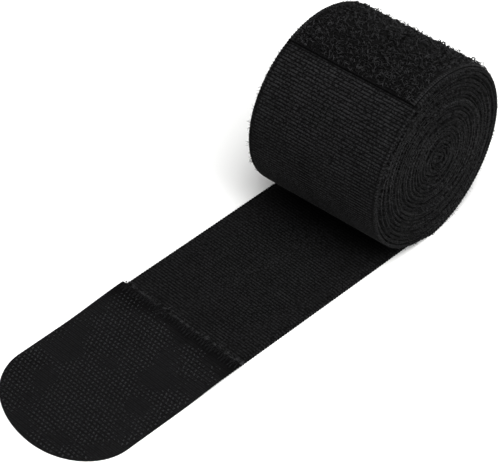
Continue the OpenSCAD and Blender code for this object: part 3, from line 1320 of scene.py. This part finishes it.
@dataclass
class LoopTape:
    """The loop tape on the outer turn: woven ground, pile of loops and two rows of stitches.

    Real loops are finer and closer together, too fine to show, so they are drawn
    coarser. The pile keeps the light off its ground, which is shaded.
    """

    sizes: WrapSizes
    ground_t: float = 0.6
    ground_pitch: float = 0.9
    ground_step: float = 0.25
    ground_shade: float = 0.8
    ground_shade_ramp: Range = (0.6, 0.8)
    edge_insets: tuple[float, ...] = (0, 0.05, 0.25, 0.8, 1.3)
    column_gap: float = 2.5
    border: float = 1.3
    loops: int = 5800
    loop_sunk: float = 0.05
    loop_margin: float = 0.6
    loop_inset: float = 0.35
    end_margin: float = 0.2
    loop_points: int = 6
    loop_size: Range = (0.4, 1.1)
    loop_radius: Range = (0.08, 0.17)
    loop_height: Range = (0.12, 1.0)
    loop_rise: tuple[float, float, float] = (0.1, 0.9, 0.12)
    loop_girth: Range = (0.6, 0.5)
    loop_lean: float = 0.3
    long_share: float = 0.05
    long_height: float = 1.5
    tuft_waves: tuple[Wave, Wave] = (Wave(0.5, 7, (0.7, 1.3, 2.1)), Wave(1.0, 8, (0.6, 1.2, 1.9)))
    tuft_along: tuple[float, float, float] = (1.6, 2.1, 0.9)
    tuft_across: tuple[float, float, float] = (1.7, 1.7, 0.8)
    tuft_ramp: Range = (0.25, 0.5)
    stitch_step: float = 2.8
    stitch_len: float = 2.2
    stitch_points: int = 6
    stitch_margin: float = 1.0
    stitch_in: float = 0.75
    stitch_round: float = 0.6
    stitch_lift: Range = (-0.1, 0.22)
    stitch_r: float = 0.16
    seed: int = 51

    def __post_init__(self) -> None:
        """Reads the tape's width from the frame, and sets it on the outer turn."""
        s = self.sizes
        self.width = s.band_w - 2
        self.winding = Winding(s.roll_r + self.ground_t, 0.0, self.ground_t, s.roll_skew, s.roll_z)
        self.front = s.loop_front + 90
        self.back = s.loop_back + 90

    def ground(self) -> Piece:
        """Makes the tape's woven ground as an arc of one strip."""
        s = self.sizes
        angle = self.winding.stations(self.back, self.front, self.ground_step)
        line = self.winding.line(angle)
        weave = Weave(self.ground_pitch, self.ground_t, rib_depth=0.08, edge_round=0.22,
                      groove_depth=0.05, wobble=0.02, scallop=0.05)
        half = np.full(len(angle), self.width / 2)
        columns = weave.columns(0, self.width, self.edge_insets, self.column_gap) / self.width
        inner = ramp(np.minimum(columns, 1 - columns) * self.width, *self.ground_shade_ramp)
        piece = weave.strip("loop_tape_ground", line, -half, half, columns, Cloth.NARROW_TAPE,
                            shade=np.tile(self.ground_shade * inner, (len(angle), 1)))
        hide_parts("loop_tape")
        return piece

    def pile(self) -> Piece:
        """Makes the pile: loops of random size, each half an ellipse in a random upright plane.

        A loop's foot lies in the ground; along the loop the angle grows from 0 to pi,
        its cosine giving the place in the tape's plane and its sine the height. Some
        loops lean over, and the pile is matted into tufts by a slow wave.
        """
        s = self.sizes
        rng = np.random.default_rng(self.seed)
        count = self.loops
        r0 = s.roll_r + self.ground_t - self.loop_sunk
        arc = np.radians(self.front - self.back) * r0
        along = rng.uniform(self.loop_inset, arc - self.loop_inset, count)
        y = rng.uniform(-1, 1, count) * (self.width / 2 - self.border)
        turn = rng.uniform(0, math.pi, count)
        size = rng.uniform(*self.loop_size, count)[:, None]
        along_wave, across_wave = self.tuft_waves
        tuft = (along_wave.at(bent(along, y, *self.tuft_along))
                * across_wave.at(bent(y, along, *self.tuft_across)))
        tuft = ramp(0.5 + tuft, *self.tuft_ramp)
        least, more, jitter = self.loop_rise
        tall = np.clip(least + more * tuft + rng.normal(0, jitter, count), *self.loop_height)
        tall = np.where(rng.uniform(0, 1, count) < self.long_share, self.long_height, tall)
        lean = rng.normal(0, self.loop_lean, count)
        u = np.linspace(0, math.pi, self.loop_points)[None, :]
        off_a = size * np.cos(u) * np.cos(turn)[:, None] - (lean * np.sin(turn))[:, None] * np.sin(u)
        off_y = size * np.cos(u) * np.sin(turn)[:, None] + (lean * np.cos(turn))[:, None] * np.sin(u)
        r = r0 + tall[:, None] * np.sin(u)
        angle = np.degrees((along[:, None] + off_a) / r0) + self.back - 90
        margin = self.end_margin
        phi = np.radians(np.clip(angle, self.back - 90 + margin, self.front - 90 - margin))
        limit = self.width / 2 - self.loop_margin
        place_y = np.clip(y[:, None] + off_y, -limit, limit)
        paths = self.winding.placed(np.stack([r * np.cos(phi), place_y, r * np.sin(phi)], axis=-1))
        mid = phi[:, self.loop_points // 2]
        tangent = np.stack([-np.sin(mid), np.zeros(count), np.cos(mid)], axis=1)
        side = -np.sin(turn)[:, None] * tangent + np.cos(turn)[:, None] * np.array([0.0, 1.0, 0.0])
        least, more = self.loop_girth
        thick = rng.uniform(*self.loop_radius, count)[:, None] * (least + more * tuft)[:, None]
        radius = thick * np.ones(self.loop_points)
        return tube_piece("loop_tape_pile", paths, self.winding.turned(side), radius, corners=3,
                          cloth=Cloth.LOOP_PILE)

    def stitches(self) -> Piece:
        """Makes the lockstitches along both edges, low arches end to end."""
        s = self.sizes
        r0 = s.roll_r + self.ground_t
        arc = np.radians(self.front - self.back) * r0
        count = int((arc - 2 * self.stitch_margin) / self.stitch_step)
        start = np.arange(count) * self.stitch_step + self.stitch_margin
        u = np.linspace(0, 1, self.stitch_points)[None, :]
        along = start[:, None] + self.stitch_len * u
        phi = along / r0 + np.radians(self.back - 90)
        foot, rise = self.stitch_lift
        r = r0 + foot + rise * np.sin(math.pi * u) ** self.stitch_round + np.zeros_like(along)
        edge = self.width / 2 - self.stitch_in
        rows = [np.stack([r * np.cos(phi), np.full_like(phi, y), r * np.sin(phi)], axis=-1)
                for y in (-edge, edge)]
        paths = self.winding.placed(np.concatenate(rows))
        side = self.winding.turned(np.tile([0.0, 1.0, 0.0], (len(paths), 1)))
        radius = np.full(paths.shape[:2], self.stitch_r)
        piece = tube_piece("loop_tape_lockstitches", paths, side, radius, corners=5, cloth=Cloth.THREAD)
        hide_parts("loop_tape_stitches")
        return piece

    def build(self) -> list[Piece]:
        """Makes the loop tape's pieces and lets them ride on the roll."""
        made = [self.ground(), self.pile(), self.stitches()]
        for piece, name in zip(made, ("loop_tape", "loop_tape", "thread")):
            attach(piece, "roll")
        return made


# ---------------------------------------------------------------- thumb loop

@dataclass
class ThumbLoop:
    """The thumb loop wound up in the core, and the bar tack across its end."""

    sizes: WrapSizes
    roll: BandRoll
    tape_pitch: float = 0.9
    tape_step: float = 0.2
    edge_insets: tuple[float, ...] = (0, 0.05, 0.2, 0.5, 1.15)
    column_gap: float = 2.0
    tack_passes: int = 14
    tack_points: int = 5
    tack_slant: float = 0.5
    tack_bow: float = 0.06
    tack_margin: Range = (0.4, 0.15)
    thread_r: float = 0.14

    def place(self) -> Array:
        """Gives the loop's shift from the roll's axis, which is that of the turn round it."""
        return self.roll.drift(np.array([float(self.roll.core_angle)]))

    def tape(self) -> Piece:
        """Makes the loop's flattened tape as a short winding of its own."""
        s = self.sizes
        width = s.thumb_w
        winding = Winding(s.thumb_r, s.thumb_t + s.turn_gap, s.thumb_t, s.roll_skew, s.roll_z)
        line = winding.line(winding.stations(0, 360 * s.thumb_turns, self.tape_step))
        line = Line(line.centre + self.place(), line.up, line.across, line.along)
        weave = Weave(self.tape_pitch, s.thumb_t, rib_depth=0.1, edge_round=0.3, groove_depth=0.08,
                      wobble=0.02)
        half = np.full(len(line.along), width / 2)
        columns = weave.columns(0, width, self.edge_insets, self.column_gap) / width
        piece = weave.strip("thumb_loop_tape", line, -half, half, columns, Cloth.NARROW_TAPE)
        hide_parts("thumb_loop")
        return piece

    def bar_tack(self) -> Piece:
        """Makes the bar tack: close zigzag passes of thread across the loop's inner end."""
        s = self.sizes
        low, high = s.box("thumb_loop_bar_tack")
        aside, above = self.tack_margin
        y = np.linspace(low[1] + aside, high[1] - aside, self.tack_passes)
        u = np.linspace(0, 1, self.tack_points)[None, :]
        z = low[2] + above + (high[2] - low[2] - 2 * above) * u + np.zeros((self.tack_passes, 1))
        slant = y[:, None] + self.tack_slant * (u - 0.5)
        x = (low[0] + high[0]) / 2 + self.tack_bow * np.sin(math.pi * u) + np.zeros_like(slant)
        paths = np.stack([x, slant, z], axis=-1) + self.place()
        side = np.tile([1.0, 0.0, 0.0], (self.tack_passes, 1))
        radius = np.full(paths.shape[:2], self.thread_r)
        piece = tube_piece("thumb_loop_tack_thread", paths, side, radius, corners=6, cloth=Cloth.THREAD)
        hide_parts("thumb_loop_bar_tack")
        return piece

    def build(self) -> list[Piece]:
        """Makes both pieces and lets them ride on the roll."""
        made = [self.tape(), self.bar_tack()]
        for piece in made:
            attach(piece, "roll")
        return made


# ---------------------------------------------------------------- studio

@dataclass(frozen=True)
class Softbox:
    """A soft square light: where it stands in degrees, how far and how wide in metres, its watts."""

    name: str
    azimuth: float
    elevation: float
    far: float
    size: float
    power: float


@dataclass
class Studio:
    """Camera, pale floor, white sky and soft lights. Angles are degrees, lengths millimetres."""

    azimuth: float = -45.644
    elevation: float = 42.784
    roll: float = 0.382
    distance: float = 850.8
    target: tuple[float, float, float] = (-48.64, 5.66, 15.0)
    lens: float = 199.62
    sensor: float = 36.0
    clip: Range = (10.0, 50000.0)
    floor_half: float = 3000.0
    floor_colour: str = "#f4f4f3"
    floor_roughness: float = 0.9
    sky: float = 0.28
    lamps: tuple[Softbox, ...] = (
        Softbox("top_softbox", -20, 70, 0.9, 0.7, 12.5),
        Softbox("side_softbox", 10, 30, 1.2, 0.6, 8),
    )

    @staticmethod
    def away(azimuth: float, elevation: float) -> Vector:
        """Gives the direction from the target to a place at the azimuth and elevation."""
        az, el = math.radians(azimuth), math.radians(elevation)
        return Vector((math.sin(az) * math.cos(el), -math.cos(az) * math.cos(el), math.sin(el)))

    def camera(self) -> None:
        """Makes the camera, which looks at the target from the azimuth and elevation."""
        az, ro = math.radians(self.azimuth), math.radians(self.roll)
        back = self.away(self.azimuth, self.elevation)
        right = Vector((math.cos(az), math.sin(az), 0))
        up = back.cross(right)
        x_axis = right * math.cos(ro) + up * math.sin(ro)
        y_axis = up * math.cos(ro) - right * math.sin(ro)
        data = bpy.data.cameras.new("camera")
        data.lens, data.sensor_width = self.lens, self.sensor
        data.clip_start, data.clip_end = self.clip[0] * MM, self.clip[1] * MM
        camera = bpy.data.objects.new("camera", data)
        place = (Vector(self.target) + back * self.distance) * MM
        turn = Matrix((x_axis, y_axis, back)).transposed().to_4x4()
        camera.matrix_world = Matrix.Translation(place) @ turn
        bpy.context.scene.collection.objects.link(camera)
        bpy.context.scene.camera = camera

    def floor(self) -> None:
        """Makes the pale floor, a sheet of matt white board."""
        h = self.floor_half * MM
        mesh = bpy.data.meshes.new("floor")
        mesh.from_pydata([(-h, -h, 0), (h, -h, 0), (h, h, 0), (-h, h, 0)], [], [(0, 1, 2, 3)])
        material = bpy.data.materials.new("matt_white_board")
        material.use_nodes = True
        shader = material.node_tree.nodes["Principled BSDF"]
        shader.inputs["Base Color"].default_value = to_linear(self.floor_colour)
        shader.inputs["Roughness"].default_value = self.floor_roughness
        mesh.materials.append(material)
        floor = bpy.data.objects.new("floor", mesh)
        bpy.context.scene.collection.objects.link(floor)

    def light(self, lamp: Softbox) -> None:
        """Makes a soft square light that looks at the target."""
        away = self.away(lamp.azimuth, lamp.elevation)
        data = bpy.data.lights.new(lamp.name, "AREA")
        data.size, data.energy = lamp.size, lamp.power
        light = bpy.data.objects.new(lamp.name, data)
        light.location = Vector(self.target) * MM + away * lamp.far
        light.rotation_euler = away.to_track_quat("Z", "Y").to_euler()
        bpy.context.scene.collection.objects.link(light)

    def build(self) -> None:
        """Makes the camera, the floor, the sky of white light and the lamps."""
        scene = bpy.context.scene
        scene.view_settings.view_transform = "Standard"
        world = bpy.data.worlds.new("white_room")
        world.use_nodes = True
        background = world.node_tree.nodes["Background"]
        background.inputs["Color"].default_value = (1, 1, 1, 1)
        background.inputs["Strength"].default_value = self.sky
        scene.world = world
        self.camera()
        self.floor()
        for lamp in self.lamps:
            self.light(lamp)


def main() -> None:
    """Builds the wrap piece by piece, then the studio round it."""
    logging.basicConfig(level=logging.INFO, format="%(name)s: %(message)s")
    sizes = WrapSizes()
    roll = BandRoll(sizes)
    tape = HookTape(sizes)
    parts = (roll, FreeEnd(sizes, roll, tape), tape, Seam(tape), LoopTape(sizes), ThumbLoop(sizes, roll))
    for part in parts:
        for piece in part.build():
            LOG.info("%s: %s, %d faces", type(part).__name__, piece.name, len(piece.data.polygons))
    Studio().build()


if __name__ == "__main__":
    main()
